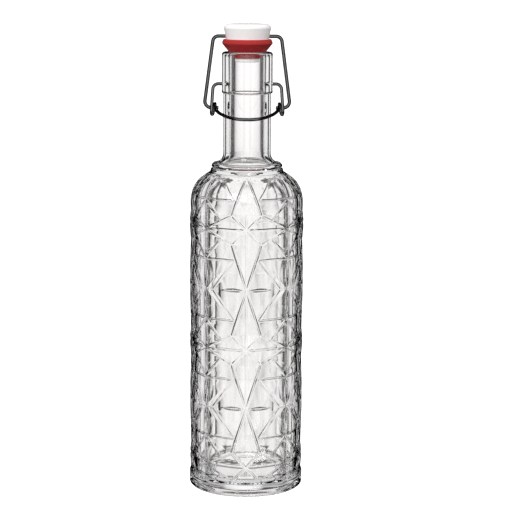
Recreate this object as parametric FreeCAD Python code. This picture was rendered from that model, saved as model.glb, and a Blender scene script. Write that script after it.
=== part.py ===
import FreeCAD, Part
import math
import os
from FreeCAD import Vector

# Driving dimensions in mm. Origin at the centre of the base, +Z up, front is -Y.
body_r = 41.0
body_top_z = 207.3
wall = 3.9
shoulder_arc_r = 22.5
shoulder_top_r = 26.2
base_band_z = 10.0
heel_r = 2.0
bearing_inner_r = 30.0
push_up = 2.4
floor_thickness = 8.4
floor_corner_r = 7.0

collar_r = 25.6
collar_rise = 2.4
groove_depth = 1.5
groove_height = 1.7
bead_r = 25.2
bead_height = 2.4
bead_bulge = 0.4
neck_flare_r = 7.0
neck_inner_flare_r = 11.35
neck_r = 16.85
bore_r = 12.5
lip_z = 313.1
lip_outer_round = 2.0
lip_inner_round = 1.5
finish_r = 18.0
finish_height = 28.9
finish_under_round = 0.7

star_columns = 4
star_row_z = 22.2
star_pitch = 42.45
star_rows_up = 5
facet_depth = 1.2

seal_gap = 0.17
seal_cone_deg = 39.5
seal_rise = 8.7
seal_depth = 4.5
seal_rim_drop = 3.1
seal_rim_bulge = 0.25
seal_top_inset = 0.6
seal_edge_r = 0.5

stem_r = 5.0
stem_fit = 0.05
button_r = 8.6
button_height = 2.5
button_round = 0.8
head_height = 11.6
head_foot_r = 15.0
head_rim_r = 16.6
head_edge_r = 3.0
head_crown = 1.0

bail_d = 2.6
lever_d = 2.4
pivot_drop = 22.5
pivot_fit = 0.05
dimple_depth = 3.6
dimple_end_gap = 0.4
eye_y = 1.2
eye_below_pivot = 16.9
eye_gap = 0.25
eye_drop = 4.8
cross_rise = 2.1
cross_fit = 0.05

bail_top_x = 23.8
bail_foot_x = 30.5
bail_top_bend_r = 4.0
bail_hook_bend_r = 4.4
bail_tip_x = 20.2

lever_leg_x = 25.4
lever_leg_top_x = 24.0
lever_top_bend_r = 4.0
lever_strand_gap = 0.3
lever_loop_ease = 0.05
bow_slope = 0.5
bow_corner_x = 22.6
bow_corner_y = 9.0
bow_corner_r = 15.5
bow_front_x = 9.4
bow_front_r = 22.0
bow_neck_gap = 0.35

# Places that follow from the sizes above.
seal_top_z = lip_z + seal_rise
seal_foot_z = lip_z - seal_depth
cross_z = seal_top_z + cross_rise
pivot_z = lip_z - pivot_drop
eye_z = pivot_z - eye_below_pivot
cut_over = wall / 4


def shoulder_centre():
    return body_r - shoulder_arc_r, body_top_z


def profile_solid(points):
    # A point is (r, z), or (r, z, mid_r, mid_z) when an arc leads to it.
    edges = []
    last = None
    for point in points + points[:1]:
        here = Vector(point[0], 0, point[1])
        if last is not None and (here - last).Length > 1e-7:
            if len(point) == 4:
                middle = Vector(point[2], 0, point[3])
                edges.append(Part.Arc(last, middle, here).toShape())
            else:
                edges.append(Part.LineSegment(last, here).toShape())
        last = here
    face = Part.Face(Part.Wire(edges))
    return face.revolve(Vector(0, 0, 0), Vector(0, 0, 1), 360)


def arc_to(centre_r, centre_z, radius, start_deg, end_deg):
    end = math.radians(end_deg)
    middle = math.radians((start_deg + end_deg) / 2)
    return (
        centre_r + radius * math.cos(end),
        centre_z + radius * math.sin(end),
        centre_r + radius * math.cos(middle),
        centre_z + radius * math.sin(middle),
    )


def skin_point(height):
    # Place (r, z) on the body and shoulder, with height measured along the skin.
    if height <= body_top_z:
        return body_r, height
    turn = (height - body_top_z) / shoulder_arc_r
    centre_r, centre_z = shoulder_centre()
    return (
        centre_r + shoulder_arc_r * math.cos(turn),
        centre_z + shoulder_arc_r * math.sin(turn),
    )


# One cell of the star pattern: u runs from a column of stars to the middle of the gap,
# v from a large star to the small star above it. The third value is depth below the skin.
cell_points = {
    "star": (0.0, 0.0, 0.0),
    "petal_tip": (1.0, 0.0, 0.0),
    "small_star": (0.0, 1.0, 0.0),
    "corner": (1.0, 1.0, 0.0),
    "kite": (0.32, 0.244, 0.0),
    "kite_valley": (0.0, 0.26, 0.75),
    "petal_valley": (0.36, 0.0, 1.0),
    "shoulder_knot": (0.327, 0.5, 0.25),
    "knot": (1.0, 0.5, 0.0),
    "lens_valley": (0.4, 1.0, 1.0),
    "lens_tip": (0.79, 1.0, 0.2),
}
cell_facets = (
    ("star", "kite", "kite_valley"),
    ("kite_valley", "kite", "small_star"),
    ("star", "petal_valley", "kite"),
    ("petal_valley", "petal_tip", "kite"),
    ("kite", "shoulder_knot", "small_star"),
    ("kite", "petal_tip", "knot"),
    ("kite", "knot", "shoulder_knot"),
    ("shoulder_knot", "lens_valley", "small_star"),
    ("shoulder_knot", "lens_tip", "lens_valley"),
    ("shoulder_knot", "knot", "corner"),
    ("shoulder_knot", "corner", "lens_tip"),
)


def cell_vertex(name, column, row):
    u, v, depth = cell_points[name]
    across = u if column % 2 == 0 else 1 - u
    up = v if row % 2 == 0 else 1 - v
    height = star_row_z + (row + up) * star_pitch
    ends = abs(row + up - star_rows_up) < 1e-6
    radius, z = skin_point(min(height, skin_length()))
    if not ends:
        radius -= depth * facet_depth
    turn = math.radians(-90) + (column + across) * math.pi / star_columns
    return Vector(radius * math.cos(turn), radius * math.sin(turn), z)


def skin_length():
    centre_r = shoulder_centre()[0]
    turn = math.acos((shoulder_top_r - centre_r) / shoulder_arc_r)
    return body_top_z + shoulder_arc_r * turn


def facet_band():
    faces = []
    rims = {-1: [], star_rows_up: []}
    for column in range(2 * star_columns):
        for row in range(-1, star_rows_up):
            for names in cell_facets:
                corners = [cell_vertex(name, column, row) for name in names]
                faces.append(Part.Face(Part.makePolygon(corners + corners[:1])))
        order = ("small_star", "lens_valley", "lens_tip", "corner")
        if column % 2:
            order = order[::-1]
        for name in order[:-1]:
            rims[-1].append(cell_vertex(name, column, -1))
            rims[star_rows_up].append(cell_vertex(name, column, star_rows_up - 1))
    for ring in rims.values():
        faces.append(Part.Face(Part.makePolygon(ring + ring[:1])))
    shell = Part.makeShell(faces)
    shell.sewShape()
    solid = Part.Solid(shell)
    if solid.Volume < 0:
        solid.reverse()
    height = body_top_z - base_band_z
    window = Part.makeCylinder(2 * body_r, height, Vector(0, 0, base_band_z))
    return solid.common(window)


def bottle_shoulder():
    centre_r, centre_z = shoulder_centre()
    top_z = skin_point(skin_length())[1]
    lean = math.degrees(math.asin((top_z - centre_z) / shoulder_arc_r))
    return profile_solid([
        (0, body_top_z),
        (body_r, body_top_z),
        arc_to(centre_r, centre_z, shoulder_arc_r, 0, lean),
        (0, top_z),
    ])


def bottle_base():
    bearing_outer_r = body_r - heel_r
    return profile_solid([
        (0, push_up),
        (bearing_inner_r - push_up, push_up),
        (bearing_inner_r, 0),
        (bearing_outer_r, 0),
        arc_to(bearing_outer_r, heel_r, heel_r, -90, 0),
        (body_r, base_band_z),
        (0, base_band_z),
    ])


def collar_levels():
    start_z = skin_point(skin_length())[1]
    collar_z = start_z + collar_rise
    bead_z = collar_z + groove_height
    return start_z, collar_z, bead_z, bead_z + bead_height


def bottle_neck():
    start_z, collar_z, bead_z, bead_top_z = collar_levels()
    flare_r = neck_r + neck_flare_r
    finish_z = lip_z - finish_height
    return profile_solid([
        (0, start_z),
        (shoulder_top_r, start_z),
        (collar_r, collar_z),
        (collar_r - groove_depth, collar_z + groove_height / 2),
        (bead_r, bead_z),
        (flare_r, bead_top_z, (bead_r + flare_r) / 2 + bead_bulge, (bead_z + bead_top_z) / 2),
        arc_to(flare_r, bead_top_z + neck_flare_r, neck_flare_r, 270, 180),
        (neck_r, finish_z),
        (finish_r - finish_under_round, finish_z),
        arc_to(finish_r - finish_under_round, finish_z + finish_under_round, finish_under_round, -90, 0),
        (finish_r, lip_z - lip_outer_round),
        arc_to(finish_r - lip_outer_round, lip_z - lip_outer_round, lip_outer_round, 0, 90),
        (0, lip_z),
    ])


def bottle_hollow():
    centre_r, centre_z = shoulder_centre()
    inner_r = body_r - wall
    inner_arc_r = shoulder_arc_r - wall
    flare_r = bore_r + neck_inner_flare_r
    # The slope under the neck touches the shoulder's arc and the neck's flare.
    flare_z = collar_levels()[-1] + neck_flare_r
    across, rise = flare_r - centre_r, flare_z - centre_z
    bend = math.acos((inner_arc_r + neck_inner_flare_r) / math.hypot(across, rise))
    slope = math.atan2(rise, across) - bend
    lean = math.degrees(slope)
    slope_top_r = flare_r - neck_inner_flare_r * math.cos(slope)
    slope_top_z = flare_z - neck_inner_flare_r * math.sin(slope)
    mouth_r = bore_r + lip_inner_round
    mouth_z = lip_z - lip_inner_round
    corner_r = inner_r - floor_corner_r
    return profile_solid([
        (0, floor_thickness),
        (corner_r, floor_thickness),
        arc_to(corner_r, floor_thickness + floor_corner_r, floor_corner_r, -90, 0),
        (inner_r, body_top_z),
        arc_to(centre_r, centre_z, inner_arc_r, 0, lean),
        (slope_top_r, slope_top_z),
        arc_to(flare_r, flare_z, neck_inner_flare_r, lean + 180, 180),
        (bore_r, mouth_z),
        arc_to(mouth_r, mouth_z, lip_inner_round, 180, 90),
        (mouth_r, lip_z + cut_over),
        (0, lip_z + cut_over),
    ])


def dimple(side):
    mouth = Vector(side * (finish_r + cut_over), 0, pivot_z)
    radius = lever_d / 2 + pivot_fit
    return Part.makeCylinder(radius, dimple_depth + cut_over, mouth, Vector(-side, 0, 0))


def make_bottle():
    outer = bottle_base().fuse(facet_band()).fuse(bottle_shoulder()).fuse(bottle_neck())
    bottle = outer.cut(bottle_hollow())
    for side in (-1, 1):
        bottle = bottle.cut(dimple(side))
    return bottle


def seal_cone_r(z):
    # Radius of the sealing cone, which clears the rounded mouth by seal_gap.
    lean = math.radians(seal_cone_deg)
    reach = lip_inner_round + seal_gap
    near_r = bore_r + lip_inner_round - reach * math.cos(lean)
    near_z = lip_z - lip_inner_round + reach * math.sin(lean)
    return near_r + (z - near_z) * math.tan(lean)


def make_seal():
    rim_z = seal_top_z - seal_rim_drop
    rim_r = seal_cone_r(rim_z)
    top_r = rim_r - seal_top_inset
    edge_z = seal_top_z - seal_edge_r
    hole_r = stem_r + stem_fit
    return profile_solid([
        (hole_r, seal_top_z),
        (top_r - seal_edge_r, seal_top_z),
        arc_to(top_r - seal_edge_r, edge_z, seal_edge_r, 90, 0),
        (rim_r, rim_z, (top_r + rim_r) / 2 + seal_rim_bulge, (edge_z + rim_z) / 2),
        (seal_cone_r(seal_foot_z), seal_foot_z),
        (hole_r, seal_foot_z),
    ])


def make_stopper():
    button_z = seal_foot_z - button_height
    top_z = seal_top_z + head_height
    crown_foot_r = head_rim_r - head_edge_r
    crown_r = (crown_foot_r ** 2 + head_crown ** 2) / (2 * head_crown)
    crown_deg = math.degrees(math.asin(crown_foot_r / crown_r))
    edge_z = top_z - head_crown - head_edge_r
    head = profile_solid([
        (0, button_z),
        (button_r - button_round, button_z),
        arc_to(button_r - button_round, button_z + button_round, button_round, -90, 0),
        (button_r, seal_foot_z),
        (stem_r, seal_foot_z),
        (stem_r, seal_top_z),
        (head_foot_r, seal_top_z),
        (head_rim_r, edge_z),
        arc_to(crown_foot_r, edge_z, head_edge_r, 0, 90),
        arc_to(0, top_z - crown_r, crown_r, 90 - crown_deg, 90),
    ])
    reach = 2 * head_rim_r
    start = Vector(-reach / 2, 0, cross_z)
    bore = Part.makeCylinder(bail_d / 2 + cross_fit, reach, start, Vector(1, 0, 0))
    return head.cut(bore)


def bent_wire(corners, bends, diameter):
    # Straight runs joined by tangent arcs, one bend radius for each inner corner.
    edges = []
    last = corners[0]
    for before, corner, after, radius in zip(corners, corners[1:], corners[2:], bends):
        arrive = (corner - before).normalize()
        leave = (after - corner).normalize()
        turn = arrive.getAngle(leave)
        reach = radius * math.tan(turn / 2)
        start = corner - arrive * reach
        end = corner + leave * reach
        inward = (leave - arrive).normalize()
        middle = corner + inward * (radius / math.cos(turn / 2) - radius)
        edges.append(Part.LineSegment(last, start).toShape())
        edges.append(Part.Arc(start, middle, end).toShape())
        last = end
    edges.append(Part.LineSegment(last, corners[-1]).toShape())
    path = Part.Wire(edges)
    along = (corners[1] - corners[0]).normalize()
    ring = Part.Wire(Part.makeCircle(diameter / 2, corners[0], along))
    return path.makePipeShell([ring], True, False)


def mirrored(half):
    return half + [Vector(-point.x, point.y, point.z) for point in reversed(half)]


def make_bail():
    eye = Vector(0, eye_y, eye_z)
    cross = Vector(0, 0, cross_z)
    half = [
        eye + Vector(-bail_tip_x, 0, 0),
        eye + Vector(-bail_foot_x, 0, 0),
        cross + Vector(-bail_top_x, 0, 0),
    ]
    bends = [bail_hook_bend_r, bail_top_bend_r]
    return bent_wire(mirrored(half), bends + bends[::-1], bail_d)


def make_lever():
    strand = (bail_d + lever_d) / 2 + eye_gap
    loop_r = strand - lever_loop_ease
    inner_x = lever_leg_x - lever_d - lever_strand_gap
    foot_z = eye_z - eye_drop
    foot_y = (eye_y - strand) * (pivot_z - foot_z) / (pivot_z - eye_z)
    back_y = eye_y + strand
    top_z = eye_z + strand * (bow_slope + math.hypot(1, bow_slope))
    start_x = finish_r - dimple_depth + dimple_end_gap
    front_y = -(neck_r + lever_d / 2 + bow_neck_gap)
    half = [
        Vector(-start_x, 0, pivot_z),
        Vector(-lever_leg_top_x, 0, pivot_z),
        Vector(-lever_leg_x, foot_y, foot_z),
        Vector(-(lever_leg_x + inner_x) / 2, back_y, foot_z),
        Vector(-inner_x, back_y, top_z),
        Vector(-bow_corner_x, -bow_corner_y, top_z - bow_slope * (back_y + bow_corner_y)),
        Vector(-bow_front_x, front_y, top_z - bow_slope * (back_y - front_y)),
    ]
    bends = [lever_top_bend_r, loop_r, loop_r, loop_r, bow_corner_r, bow_front_r]
    return bent_wire(mirrored(half), bends + bends[::-1], lever_d)


parts = {
    "glass_bottle": make_bottle(),
    "stopper": make_stopper(),
    "sealing_ring": make_seal(),
    "bail_wire": make_bail(),
    "lever_wire": make_lever(),
}
os.makedirs("parts", exist_ok=True)
for name, shape in parts.items():
    shape.exportStep("parts/" + name + ".step")
    print(name, shape.isValid(), round(shape.Volume), len(shape.Faces), len(shape.Solids))
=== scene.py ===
import math
import bpy
import numpy as np
from mathutils import Matrix, Vector
from mathutils.bvhtree import BVHTree


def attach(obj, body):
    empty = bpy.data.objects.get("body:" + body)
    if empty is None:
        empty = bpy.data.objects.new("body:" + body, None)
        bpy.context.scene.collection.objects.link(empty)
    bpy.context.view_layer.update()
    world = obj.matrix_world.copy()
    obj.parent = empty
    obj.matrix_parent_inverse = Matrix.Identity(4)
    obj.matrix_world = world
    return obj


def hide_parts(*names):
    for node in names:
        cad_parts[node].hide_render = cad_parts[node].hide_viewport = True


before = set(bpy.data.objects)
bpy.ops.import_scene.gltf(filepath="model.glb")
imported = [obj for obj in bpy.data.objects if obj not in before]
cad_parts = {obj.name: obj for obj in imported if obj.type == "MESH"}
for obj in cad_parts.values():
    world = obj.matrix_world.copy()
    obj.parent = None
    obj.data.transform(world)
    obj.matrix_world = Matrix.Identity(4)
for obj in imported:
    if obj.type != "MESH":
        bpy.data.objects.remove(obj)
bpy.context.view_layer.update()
mm = 0.001
print("frame loaded")


def addMesh(name, verts, faces, smooth=True):
    mesh = bpy.data.meshes.new(name)
    mesh.from_pydata(verts, [], faces)
    mesh.update()
    mesh.polygons.foreach_set("use_smooth", [smooth] * len(mesh.polygons))
    piece = bpy.data.objects.new(name, mesh)
    bpy.context.collection.objects.link(piece)
    return piece


def newMaterial(name):
    material = bpy.data.materials.new(name)
    material.use_nodes = True
    tree = material.node_tree
    return material, tree, tree.nodes["Principled BSDF"]


def addNode(tree, kind, **values):
    node = tree.nodes.new(kind)
    for key, value in values.items():
        if key in node.inputs:
            node.inputs[key].default_value = value
        else:
            setattr(node, key, value)
    return node


def noiseOn(tree, scale, detail=2.0):
    place = addNode(tree, "ShaderNodeTexCoord")
    noise = addNode(tree, "ShaderNodeTexNoise", Scale=scale, Detail=detail)
    tree.links.new(place.outputs["Object"], noise.inputs["Vector"])
    return noise.outputs["Fac"]


def addBump(tree, shader, height, strength, distance):
    bump = addNode(tree, "ShaderNodeBump", Strength=strength, Distance=distance)
    tree.links.new(height, bump.inputs["Height"])
    tree.links.new(bump.outputs["Normal"], shader.inputs["Normal"])


def spread(tree, value, socket, low, high):
    ramp = addNode(tree, "ShaderNodeMapRange")
    ramp.inputs["To Min"].default_value = low
    ramp.inputs["To Max"].default_value = high
    tree.links.new(value, ramp.inputs["Value"])
    tree.links.new(ramp.outputs["Result"], socket)


# Star pattern, one cell: u from a column of stars to the middle of the gap,
# v from a large star to the small star above. Depths and widths in mm.
starPattern = {
    "columns": 4,
    "firstRow": 22.2,
    "pitch": 42.45,
    "skinRadius": 41.0,
    "points": {
        "star": (0.0, 0.0, 0.0),
        "petalTip": (1.0, 0.0, 0.0),
        "smallStar": (0.0, 1.0, 0.0),
        "corner": (1.0, 1.0, 0.0),
        "kite": (0.32, 0.244, 0.0),
        "kiteValley": (0.0, 0.26, 1.2),
        "petalValley": (0.36, 0.0, 1.65),
        "knee": (0.29, 0.5, 0.4),
        "knot": (1.0, 0.5, 0.0),
        "lensValley": (0.4, 1.0, 1.6),
        "lensTip": (0.79, 1.0, 0.3),
        "spur": (0.6, 0.15, 0.0),
    },
    "facets": (
        "star kite kiteValley", "kiteValley kite smallStar", "star petalValley kite",
        "petalValley petalTip kite", "kite knee smallStar", "kite petalTip knot",
        "kite knot knee", "knee lensValley smallStar", "knee lensTip lensValley",
        "knee knot corner", "knee corner lensTip",
    ),
    # Each crease: its two ends, its depth and half its width.
    "creases": (
        ("star", "kite", 0.66, 0.9),
        ("kite", "petalTip", 0.52, 0.9),
        ("star", "petalTip", 0.34, 0.9),
        ("kite", "smallStar", 0.72, 1.0),
        ("star", "smallStar", 0.24, 0.9),
        ("knee", "knot", 0.52, 0.9),
        ("knee", "lensTip", 0.52, 0.9),
        ("spur", "knot", 0.50, 0.9),
        ("lensTip", "corner", 0.50, 0.9),
    ),
    # Long hollows on the small star's row and in the middle of the gap:
    # depth, middle, half length, slope.
    "lens": (1.0, 0.31, 0.28, 0.68),
    "slot": (1.4, 0.76, 0.25, 1.1),
    "grid": (121, 161), "castFrom": 5.0,
    "soften": 0.25, "creaseSoften": 0.15, "softenReach": 3,
    # Shares of the depth that are left on the far side, and the degrees where they set in.
    "farFacets": 0.75, "farCuts": 0.18, "farTurn": (85, 140),
}


def cellPolygons():
    p = starPattern
    verts, faces = [], []
    for column in (-1, 0, 1):
        for row in (-1, 0, 1):
            for facet in p["facets"]:
                corner = []
                for name in facet.split():
                    u, v, depth = p["points"][name]
                    across = column + (u if column % 2 == 0 else 1 - u)
                    up = row + (v if row % 2 == 0 else 1 - v)
                    turn = across * math.pi / p["columns"]
                    r = p["skinRadius"] - depth
                    corner.append(len(verts))
                    verts.append((r * math.cos(turn), r * math.sin(turn), up * p["pitch"]))
                faces.append(corner)
    return BVHTree.FromPolygons([Vector(v) for v in verts], faces)


def softened(field, across, along):
    # Gaussian blur on a cell that is mirrored at all four sides.
    for axis, sigma in ((0, across), (1, along)):
        reach = max(1, math.ceil(starPattern["softenReach"] * sigma))
        weight = np.exp(-0.5 * (np.arange(-reach, reach + 1) / sigma) ** 2)
        weight /= weight.sum()
        pad = [(0, 0), (0, 0)]
        pad[axis] = (reach, reach)
        wide = np.pad(field, pad, mode="reflect")
        field = sum(
            w * np.take(wide, range(k, k + field.shape[axis]), axis=axis)
            for k, w in enumerate(weight)
        )
    return field


def planeFacets(us, vs):
    # Depth of the flat facets under the skin, found by casting inward on a grid.
    p = starPattern
    tree = cellPolygons()
    depth = np.zeros((len(us), len(vs)))
    for i, u in enumerate(us):
        turn = u * math.pi / p["columns"]
        out = Vector((math.cos(turn), math.sin(turn), 0))
        for j, v in enumerate(vs):
            start = out * (p["skinRadius"] + p["castFrom"]) + Vector((0, 0, v * p["pitch"]))
            hit = tree.ray_cast(start, -out)[0]
            depth[i, j] = p["skinRadius"] - hit.to_2d().length
    return depth


def creaseCuts(x, y, arc):
    # Depth of the V-shaped creases, x and y in mm on the unrolled skin.
    p = starPattern
    cut = np.zeros(np.broadcast(x, y).shape)
    for first, last, depth, half in p["creases"]:
        a = np.array(p["points"][first][:2]) * (arc, p["pitch"])
        b = np.array(p["points"][last][:2]) * (arc, p["pitch"])
        along = b - a
        f = np.clip(((x - a[0]) * along[0] + (y - a[1]) * along[1]) / along.dot(along), 0, 1)
        away = np.hypot(x - a[0] - f * along[0], y - a[1] - f * along[1])
        cut = np.maximum(cut, depth * np.clip(1 - away / half, 0, 1))
    return cut


def reliefCell():
    p = starPattern
    us, vs = np.linspace(0, 1, p["grid"][0]), np.linspace(0, 1, p["grid"][1])
    arc = p["skinRadius"] * math.pi / p["columns"]
    u, v = us[:, None], vs[None, :]
    cuts = creaseCuts(u * arc, v * p["pitch"], arc)
    for hollow, along, away in (("lens", u, (1 - v) * p["pitch"]), ("slot", v, (1 - u) * arc)):
        depth, middle, half, slope = p[hollow]
        cuts = np.maximum(cuts, depth * (1 - ((along - middle) / half) ** 2) - slope * away)
    stepU, stepV = arc / (len(us) - 1), p["pitch"] / (len(vs) - 1)
    facets = softened(planeFacets(us, vs), p["soften"] / stepU, p["soften"] / stepV)
    return facets, softened(cuts, p["creaseSoften"] / stepU, p["creaseSoften"] / stepV)


facetTable, cutTable = reliefCell()
print("relief cell", facetTable.shape, "depth to", round(float((facetTable + cutTable).max()), 2), "mm")


def folded(value):
    # Runs 0 to 1 and back, as the mirrored cells do.
    value = np.abs(value) % 2
    return np.where(value > 1, 2 - value, value)


def fade(value, low, high):
    f = np.clip((value - low) / (high - low), 0, 1)
    return f * f * (3 - 2 * f)


def reliefAt(turns, height):
    # Depth round one height. It is less on the far side, so that this doesn't show through the front.
    p = starPattern
    away = np.degrees(np.minimum(turns, 2 * math.pi - turns))
    far = fade(away, *p["farTurn"])
    nu, nv = p["grid"]
    u = folded(turns * p["columns"] / math.pi) * (nu - 1)
    v = float(folded((height - p["firstRow"]) / p["pitch"])) * (nv - 1)
    i, j = np.minimum(u.astype(int), nu - 2), min(int(v), nv - 2)
    a, b = u - i, v - j

    def lookUp(table, farShare):
        low = table[i, j] * (1 - a) + table[i + 1, j] * a
        high = table[i, j + 1] * (1 - a) + table[i + 1, j + 1] * a
        return (1 - (1 - farShare) * far) * (low * (1 - b) + high * b)

    return lookUp(facetTable, p["farFacets"]) + lookUp(cutTable, p["farCuts"])


# The bottle's profile in mm, with the sizes that the part has. Steps are the mesh's.
bottleShape = {
    "bodyRadius": 41.0, "bodyTop": 207.3, "wall": 3.9,
    "shoulderArc": 22.5, "shoulderTop": 26.2,
    "heel": 2.0, "bearingInner": 30.0, "pushUp": 2.4,
    "floor": 8.4, "floorCorner": 7.0, "poleHole": 0.4,
    "collarRadius": 25.6, "collarRise": 2.4, "grooveDepth": 1.5, "grooveHeight": 1.7,
    "beadRadius": 25.2, "beadHeight": 2.4, "beadBulge": 0.4,
    "neckRadius": 16.85, "neckFlare": 7.0, "innerFlare": 11.35,
    "bore": 12.5, "lipTop": 313.1, "lipOuter": 2.0, "lipInner": 1.5,
    "finishRadius": 18.0, "finishHeight": 28.9, "finishRound": 0.7,
    "dimpleDrop": 22.5, "dimpleDepth": 3.6, "dimpleRadius": 1.25, "dimpleEdge": 0.35,
    "columns": 600, "bodyStep": 0.42, "fineStep": 0.3, "middleStep": 0.6, "coarseStep": 3.0,
    "reliefStart": (9.0, 11.5), "reliefEnd": (227.0, 234.0),
    "reliefGain": 1.1, "shoulderRelief": 0.35,
    "innerWave": 0.12, "innerWaveStart": (20.0, 40.0), "innerTouch": 0.01,
}


def lineTo(points, end, step):
    start = points[-1]
    count = max(1, round(math.dist(start, end) / step))
    for k in range(1, count + 1):
        f = k / count
        points.append((start[0] + f * (end[0] - start[0]), start[1] + f * (end[1] - start[1])))


def arcTo(points, centre, radius, startDeg, endDeg, step):
    count = max(3, round(abs(math.radians(endDeg - startDeg)) * radius / step))
    for k in range(1, count + 1):
        turn = math.radians(startDeg + (endDeg - startDeg) * k / count)
        points.append((centre[0] + radius * math.cos(turn), centre[1] + radius * math.sin(turn)))


def bodyProfile():
    b = bottleShape
    heelR = b["bodyRadius"] - b["heel"]
    centreR = b["bodyRadius"] - b["shoulderArc"]
    lean = math.degrees(math.acos((b["shoulderTop"] - centreR) / b["shoulderArc"]))
    points = [(b["poleHole"], b["pushUp"])]
    lineTo(points, (b["bearingInner"] - b["pushUp"], b["pushUp"]), b["coarseStep"])
    lineTo(points, (b["bearingInner"], 0), b["middleStep"])
    lineTo(points, (heelR, 0), b["middleStep"])
    arcTo(points, (heelR, b["heel"]), b["heel"], -90, 0, b["fineStep"])
    lineTo(points, (b["bodyRadius"], b["bodyTop"]), b["bodyStep"])
    arcTo(points, (centreR, b["bodyTop"]), b["shoulderArc"], 0, lean, b["bodyStep"])
    return points


def neckProfile(start):
    b = bottleShape
    fine, coarse = b["fineStep"], b["coarseStep"]
    points = [start]
    collarZ = start[1] + b["collarRise"]
    beadZ = collarZ + b["grooveHeight"]
    flareR = b["neckRadius"] + b["neckFlare"]
    flareZ = beadZ + b["beadHeight"] + b["neckFlare"]
    lineTo(points, (b["collarRadius"], collarZ), fine)
    lineTo(points, (b["collarRadius"] - b["grooveDepth"], collarZ + b["grooveHeight"] / 2), fine)
    lineTo(points, (b["beadRadius"], beadZ), fine)
    count = round(b["beadHeight"] / fine)
    for k in range(1, count + 1):
        f = k / count
        swell = b["beadBulge"] * 4 * f * (1 - f)
        beadR = b["beadRadius"] + (flareR - b["beadRadius"]) * f + swell
        points.append((beadR, beadZ + b["beadHeight"] * f))
    arcTo(points, (flareR, flareZ), b["neckFlare"], 270, 180, b["middleStep"])
    finishZ = b["lipTop"] - b["finishHeight"]
    underR = b["finishRadius"] - b["finishRound"]
    lineTo(points, (b["neckRadius"], finishZ - b["finishRound"]), coarse)
    lineTo(points, (b["neckRadius"], finishZ), fine)
    lineTo(points, (underR, finishZ), fine)
    arcTo(points, (underR, finishZ + b["finishRound"]), b["finishRound"], -90, 0, fine)
    pivotZ = b["lipTop"] - b["dimpleDrop"]
    reach = b["dimpleRadius"] + 2 * b["dimpleEdge"]
    lineTo(points, (b["finishRadius"], pivotZ - reach), b["middleStep"])
    lineTo(points, (b["finishRadius"], pivotZ + reach), fine)
    lineTo(points, (b["finishRadius"], b["lipTop"] - b["lipOuter"]), coarse)
    edge = (b["finishRadius"] - b["lipOuter"], b["lipTop"] - b["lipOuter"])
    arcTo(points, edge, b["lipOuter"], 0, 90, fine)
    return points[1:]


def innerProfile():
    b = bottleShape
    middle, coarse = b["middleStep"], b["coarseStep"]
    mouthR, mouthZ = b["bore"] + b["lipInner"], b["lipTop"] - b["lipInner"]
    innerR = b["bodyRadius"] - b["wall"]
    innerArc = b["shoulderArc"] - b["wall"]
    centreR = b["bodyRadius"] - b["shoulderArc"]
    flareR = b["bore"] + b["innerFlare"]
    startZ = b["bodyTop"] + math.sqrt(b["shoulderArc"] ** 2 - (b["shoulderTop"] - centreR) ** 2)
    flareZ = startZ + b["collarRise"] + b["grooveHeight"] + b["beadHeight"] + b["neckFlare"]
    across, rise = flareR - centreR, flareZ - b["bodyTop"]
    bend = math.acos((innerArc + b["innerFlare"]) / math.hypot(across, rise))
    lean = math.degrees(math.atan2(rise, across) - bend)
    slopeFoot = (centreR + innerArc * math.cos(math.radians(lean)),
                 b["bodyTop"] + innerArc * math.sin(math.radians(lean)))
    points = [(mouthR, b["lipTop"])]
    arcTo(points, (mouthR, mouthZ), b["lipInner"], 90, 180, b["fineStep"])
    lineTo(points, (b["bore"], flareZ), coarse)
    arcTo(points, (flareR, flareZ), b["innerFlare"], 180, 180 + lean, middle)
    lineTo(points, slopeFoot, 2 * middle)
    arcTo(points, (centreR, b["bodyTop"]), innerArc, lean, 0, 2 * middle)
    lineTo(points, (innerR, b["floor"] + b["floorCorner"]), coarse)
    cornerR = innerR - b["floorCorner"]
    arcTo(points, (cornerR, b["floor"] + b["floorCorner"]), b["floorCorner"], 0, -90, middle)
    lineTo(points, (b["poleHole"], b["floor"]), coarse)
    return points


def reliefRing(r, z, turns):
    # Radius and height round one ring of the body or shoulder, with the stars cut in.
    b = bottleShape
    lean = max(0.0, math.atan2(z - b["bodyTop"], r - b["bodyRadius"] + b["shoulderArc"]))
    height = z if z <= b["bodyTop"] else b["bodyTop"] + b["shoulderArc"] * lean
    share = b["shoulderRelief"] + (1 - b["shoulderRelief"]) * r / b["bodyRadius"]
    share *= b["reliefGain"] * fade(height, *b["reliefStart"]) * (1 - fade(height, *b["reliefEnd"]))
    depth = share * reliefAt(turns, height)
    return r - depth * math.cos(lean), z - depth * math.sin(lean)


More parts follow.
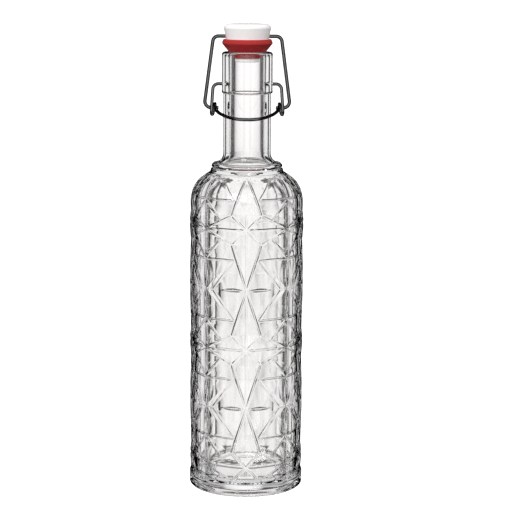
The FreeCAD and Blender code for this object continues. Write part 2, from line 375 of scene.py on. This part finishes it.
def makeBottle():
    b = bottleShape
    body = bodyProfile()
    outer = body + neckProfile(body[-1])
    rings = outer + innerProfile()
    n = b["columns"]
    turns = 2 * math.pi * np.arange(n) / n
    innerR = b["bodyRadius"] - b["wall"]
    pivotZ = b["lipTop"] - b["dimpleDrop"]
    verts = []
    for index, (r, z) in enumerate(rings):
        rr, zz = np.full(n, r), np.full(n, z)
        if index < len(body) and z > b["reliefStart"][0]:
            rr, zz = reliefRing(r, z, turns)
        elif index >= len(outer) and r > innerR - b["innerTouch"]:
            rr = rr - b["innerWave"] * reliefAt(turns, z) * fade(z, *b["innerWaveStart"])
        x, y = rr * np.sin(turns), -rr * np.cos(turns)
        if index < len(outer) and r == b["finishRadius"]:
            away = np.hypot(y, z - pivotZ)
            hole = 1 - fade(away, b["dimpleRadius"], b["dimpleRadius"] + b["dimpleEdge"])
            x = x - np.sign(x) * b["dimpleDepth"] * hole
        verts.append(np.stack((x, y, np.broadcast_to(zz, n)), axis=1))
    faces = []
    for ring in range(len(rings) - 1):
        for k in range(n):
            a, c = ring * n + k, ring * n + (k + 1) % n
            faces.append((a, c, c + n, a + n))
    last = (len(rings) - 1) * n
    faces.append(tuple(range(n))[::-1])
    faces.append(tuple(range(last, last + n)))
    return addMesh("bottleGlass", (np.concatenate(verts) * mm).tolist(), faces)


bottle = makeBottle()
print("bottle mesh", len(bottle.data.polygons), "faces")


def finish(name, look):
    # One shader with its plain values, a fine grain of roughness and a slight unevenness.
    material, tree, shader = newMaterial(name)
    for socket, value in look["values"].items():
        shader.inputs[socket].default_value = value
    grainScale, low, high = look["grain"]
    spread(tree, noiseOn(tree, grainScale), shader.inputs["Roughness"], low, high)
    waveScale, strength, distance = look["waves"]
    addBump(tree, shader, noiseOn(tree, waveScale), strength, distance)
    return material


# Grain is scale, lowest and highest roughness. Waves are scale, strength and distance.
glassLook = {
    "values": {"Base Color": (0.99, 0.983, 0.979, 1), "IOR": 1.5, "Transmission Weight": 1.0},
    "grain": (260, 0.0, 0.012), "waves": (45, 0.10, 0.0006),
}

bottle.data.materials.append(finish("clearGlass", glassLook))
bottle.visible_shadow = False
bottle.visible_diffuse = False
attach(bottle, "bottle")
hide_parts("glass_bottle")

plasticLook = {
    "values": {"Base Color": (0.95, 0.935, 0.93, 1), "Subsurface Weight": 0.1,
               "Subsurface Radius": (0.002, 0.002, 0.002)},
    "grain": (300, 0.22, 0.36), "waves": (900, 0.05, 0.0002),
}
rubberLook = {
    "values": {"Base Color": (0.44, 0.014, 0.016, 1)},
    "grain": (400, 0.5, 0.65), "waves": (1400, 0.12, 0.0002),
}
wireLook = {
    "values": {"Base Color": (0.15, 0.153, 0.156, 1), "Metallic": 1.0},
    "grain": (500, 0.06, 0.12), "waves": (700, 0.08, 0.0002),
}

finishes = {"stopper": finish("whitePlastic", plasticLook), "sealing_ring": finish("redRubber", rubberLook)}
finishes["bail_wire"] = finishes["lever_wire"] = finish("steelWire", wireLook)
for node, material in finishes.items():
    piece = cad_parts[node]
    piece.data.materials.clear()
    piece.data.materials.append(material)
    piece.data.polygons.foreach_set("use_smooth", [True] * len(piece.data.polygons))
print("finishes on", ", ".join(finishes))

# Photograph's view: metres, degrees and image pixels.
view = {
    "place": (0.0, -1.170, 0.369),
    "pitch": 10.08, "yaw": 0.651, "roll": 0.35,
    "focalPixels": 1654.0, "imagePixels": 530.0, "sensor": 36.0, "farthest": 100.0,
}


def makeCamera():
    pitch, yaw, roll = (math.radians(view[k]) for k in ("pitch", "yaw", "roll"))
    level = math.cos(pitch)
    ahead = Vector((math.sin(yaw) * level, math.cos(yaw) * level, -math.sin(pitch)))
    right = Vector((math.cos(yaw), -math.sin(yaw), 0))
    up = right.cross(ahead)
    tiltedRight = right * math.cos(roll) + up * math.sin(roll)
    tiltedUp = up * math.cos(roll) - right * math.sin(roll)
    lens = bpy.data.cameras.new("camera")
    lens.sensor_width = view["sensor"]
    lens.lens = view["focalPixels"] / view["imagePixels"] * view["sensor"]
    lens.clip_end = view["farthest"]
    camera = bpy.data.objects.new("camera", lens)
    bpy.context.collection.objects.link(camera)
    turn = Matrix((tiltedRight, tiltedUp, -ahead)).transposed()
    camera.matrix_world = Matrix.Translation(Vector(view["place"])) @ turn.to_4x4()
    bpy.context.scene.camera = camera


makeCamera()
print("camera set")

# Light for clear glass: a white set whose dark screens draw the edges.
# Lengths in metres. Pairs are a place and a grey level there: by degrees of turn,
# or by the rise of a ray, which is the Z of its direction.
studio = {
    "bounces": 24,
    "sky": ((-1.0, 0.05), (-0.3, 0.1), (-0.14, 0.7), (-0.07, 1.1), (0.25, 1.05), (0.5, 0.95), (1.0, 0.95)),
    "skyStrength": 0.97,
    "domeRadius": 20.0, "tentRadius": 50.0, "shellSides": 32, "shellRings": 16,
    "floorHalf": 19.0, "floorDrop": 0.0002,
    "floorTint": (0.97, 0.97, 0.97, 1), "floorRough": 0.9, "floorGlow": 0.5,
    "white": (1, 1, 1, 1),
    # Seen through the glass: by degrees from the middle of a light gap, and by rise.
    "seenPeriod": 90.0, "seenShift": 2.0, "neckShift": 1.0,
    "seenTurn": ((0, 1.08), (3, 1.03), (6, 0.92), (9, 0.79), (11.5, 0.64), (14.5, 0.1),
                 (16.5, 0.0), (34, 0.0), (38, 0.35), (42, 0.7), (45, 0.9)),
    # The same for level rays, which are those of the neck.
    "neckTurn": ((0, 1.0), (8, 0.95), (11, 0.75), (14, 0.1), (16, 0.0), (25, 0.0), (29, 0.8), (45, 0.9)),
    "neckShare": ((-1.0, 0.0), (-0.14, 0.0), (-0.1, 1.0), (0.0, 1.0), (0.05, 0.0), (1.0, 0.0)),
    "seenRise": ((-1.0, 0.7), (-0.7, 0.7), (-0.66, 0.5), (-0.61, 0.15), (-0.47, 0.15), (-0.41, 0.72),
                 (-0.35, 1.0), (-0.28, 0.99), (-0.2, 0.92), (-0.13, 0.96), (-0.08, 1.07), (-0.02, 1.1),
                 (0.03, 0.6), (0.06, 0.06), (0.22, 0.06), (0.28, 0.7), (0.35, 0.9), (1.0, 0.9)),
    # Share of the steep rays that see no screens at the sides.
    "seenOpen": ((-1.0, 1.0), (-0.6, 0.9), (-0.31, 0.65), (-0.29, 0.0), (0.22, 0.0), (0.3, 1.0), (1.0, 1.0)),
    # Mirrored by smooth surfaces: by degrees from the front, where it is bright, and by rise.
    "panelTurn": ((0, 1.0), (26, 1.0), (34, 0.05), (54, 0.02), (60, 0.1), (66, 0.08),
                  (70, 0.02), (180, 0.0)),
    "panelRise": ((-1.0, 0.0), (-0.4, 0.1), (-0.26, 0.5), (-0.14, 1.0), (-0.02, 1.6), (0.12, 1.8),
                  (0.25, 1.5), (0.45, 0.6), (0.7, 0.3), (1.0, 0.6)),
    "keyPlace": (-0.5, -1.3, 1.25), "keyAim": (0, 0, 0.25), "keySize": 0.8, "keyPower": 14.0,
}


def addRamp(tree, value, stops, low, high):
    # Grey levels placed along the value, which runs from low to high.
    ramp = addNode(tree, "ShaderNodeValToRGB")
    marks = ramp.color_ramp.elements
    while len(marks) < len(stops):
        marks.new(0.5)
    for mark, (position, level) in zip(marks, stops):
        mark.position = (position - low) / (high - low)
        mark.color = (level, level, level, 1)
    scale = addNode(tree, "ShaderNodeMapRange")
    scale.inputs["From Min"].default_value = low
    scale.inputs["From Max"].default_value = high
    tree.links.new(value, scale.inputs["Value"])
    tree.links.new(scale.outputs["Result"], ramp.inputs["Fac"])
    return ramp.outputs["Color"]


def rayParts(tree):
    # X, Y and Z of the direction from the middle of the set.
    place = addNode(tree, "ShaderNodeTexCoord")
    unit = addNode(tree, "ShaderNodeVectorMath", operation="NORMALIZE")
    split = addNode(tree, "ShaderNodeSeparateXYZ")
    tree.links.new(place.outputs["Object"], unit.inputs[0])
    tree.links.new(unit.outputs["Vector"], split.inputs["Vector"])
    return split.outputs


def turnFrom(tree, parts, period, shift):
    # Angle in radians from the back, or from the nearest of the places that the period gives.
    angle = addNode(tree, "ShaderNodeMath", operation="ARCTAN2")
    moved = addNode(tree, "ShaderNodeMath", operation="SUBTRACT")
    moved.inputs[1].default_value = math.radians(shift)
    wave = addNode(tree, "ShaderNodeMath", operation="PINGPONG")
    wave.inputs[1].default_value = math.radians(period / 2)
    tree.links.new(parts["X"], angle.inputs[0])
    tree.links.new(parts["Y"], angle.inputs[1])
    tree.links.new(angle.outputs[0], moved.inputs[0])
    tree.links.new(moved.outputs[0], wave.inputs[0])
    return wave.outputs[0]


def makeSky():
    world = bpy.data.worlds.new("studio")
    bpy.context.scene.world = world
    world.use_nodes = True
    tree = world.node_tree
    sky = tree.nodes["Background"]
    sky.inputs["Strength"].default_value = studio["skyStrength"]
    place = addNode(tree, "ShaderNodeTexCoord")
    split = addNode(tree, "ShaderNodeSeparateXYZ")
    tree.links.new(place.outputs["Generated"], split.inputs["Vector"])
    tree.links.new(addRamp(tree, split.outputs["Z"], studio["sky"], -1, 1), sky.inputs["Color"])


def limitRays(obj, camera=False, glossy=False, transmission=False):
    obj.visible_camera = camera
    obj.visible_glossy = glossy
    obj.visible_transmission = transmission
    obj.visible_diffuse = False
    obj.visible_shadow = False


def glowing(name):
    material, tree, shader = newMaterial(name)
    tree.nodes.remove(shader)
    glow = addNode(tree, "ShaderNodeEmission", Color=studio["white"], Strength=1.0)
    tree.links.new(glow.outputs["Emission"], tree.nodes["Material Output"].inputs["Surface"])
    return material, tree, glow


def addShell(name, radius, material, **rays):
    sides, rings = studio["shellSides"], studio["shellRings"]
    bpy.ops.mesh.primitive_uv_sphere_add(radius=radius, segments=sides, ring_count=rings)
    shell = bpy.context.object
    shell.name = name
    shell.data.materials.append(material)
    limitRays(shell, **rays)


def makeFloor():
    half = studio["floorHalf"]
    corners = [(-half, -half, 0), (half, -half, 0), (half, half, 0), (-half, half, 0)]
    floor = addMesh("floor", corners, [(0, 1, 2, 3)], smooth=False)
    floor.location.z = -studio["floorDrop"]
    material, tree, shader = newMaterial("paleFloor")
    shader.inputs["Base Color"].default_value = studio["floorTint"]
    shader.inputs["Roughness"].default_value = studio["floorRough"]
    shader.inputs["Emission Color"].default_value = studio["white"]
    shader.inputs["Emission Strength"].default_value = studio["floorGlow"]
    floor.data.materials.append(material)
    limitRays(floor, camera=True)


def mixed(tree, share, first, last):
    # Share, first and last are levels, or sockets that give them.
    mix = addNode(tree, "ShaderNodeMix")
    for name, value in (("Factor", share), ("A", first), ("B", last)):
        if isinstance(value, float):
            mix.inputs[name].default_value = value
        else:
            tree.links.new(value, mix.inputs[name])
    return mix.outputs["Result"]


def turnLevel(tree, parts, period, shift, turnStops):
    stops = [(math.radians(degrees), level) for degrees, level in turnStops]
    return addRamp(tree, turnFrom(tree, parts, period, shift), stops, 0, math.radians(period / 2))


def seenLevel(tree, parts):
    around = [turnLevel(tree, parts, studio["seenPeriod"], studio[shift], studio[stops])
              for shift, stops in (("seenShift", "seenTurn"), ("neckShift", "neckTurn"))]
    share, opened = (addRamp(tree, parts["Z"], studio[key], -1, 1) for key in ("neckShare", "seenOpen"))
    return mixed(tree, opened, mixed(tree, share, *around), 1.0)


def panelLevel(tree, parts):
    stops = [(180 - degrees, level) for degrees, level in reversed(studio["panelTurn"])]
    return turnLevel(tree, parts, 360, 0, stops)


def makeTent(name, aroundLevel, riseStops, **rays):
    # A shell that only these rays see, with its level set around and by rise.
    material, tree, glow = glowing(name)
    parts = rayParts(tree)
    level = addNode(tree, "ShaderNodeMath", operation="MULTIPLY")
    tree.links.new(aroundLevel(tree, parts), level.inputs[0])
    tree.links.new(addRamp(tree, parts["Z"], riseStops, -1, 1), level.inputs[1])
    tree.links.new(level.outputs[0], glow.inputs["Strength"])
    addShell(name, studio["tentRadius"], material, **rays)


def makeKeyLight():
    light = bpy.data.lights.new("keyLight", "AREA")
    light.size = studio["keySize"]
    light.energy = studio["keyPower"]
    lamp = bpy.data.objects.new("keyLight", light)
    bpy.context.collection.objects.link(lamp)
    lamp.location = studio["keyPlace"]
    lamp.visible_glossy = False
    aim = Vector(studio["keyAim"]) - lamp.location
    lamp.rotation_euler = aim.to_track_quat("-Z", "Y").to_euler()


def makeStage():
    scene = bpy.context.scene
    scene.view_settings.view_transform = "Standard"
    for kind in ("max_bounces", "transmission_bounces", "transparent_max_bounces"):
        setattr(scene.cycles, kind, studio["bounces"])
    makeSky()
    makeFloor()
    addShell("dome", studio["domeRadius"], glowing("whiteDome")[0], camera=True)
    makeTent("seenTent", seenLevel, studio["seenRise"], transmission=True)
    makeTent("panelTent", panelLevel, studio["panelRise"], glossy=True)
    makeKeyLight()


makeStage()
print("stage set")
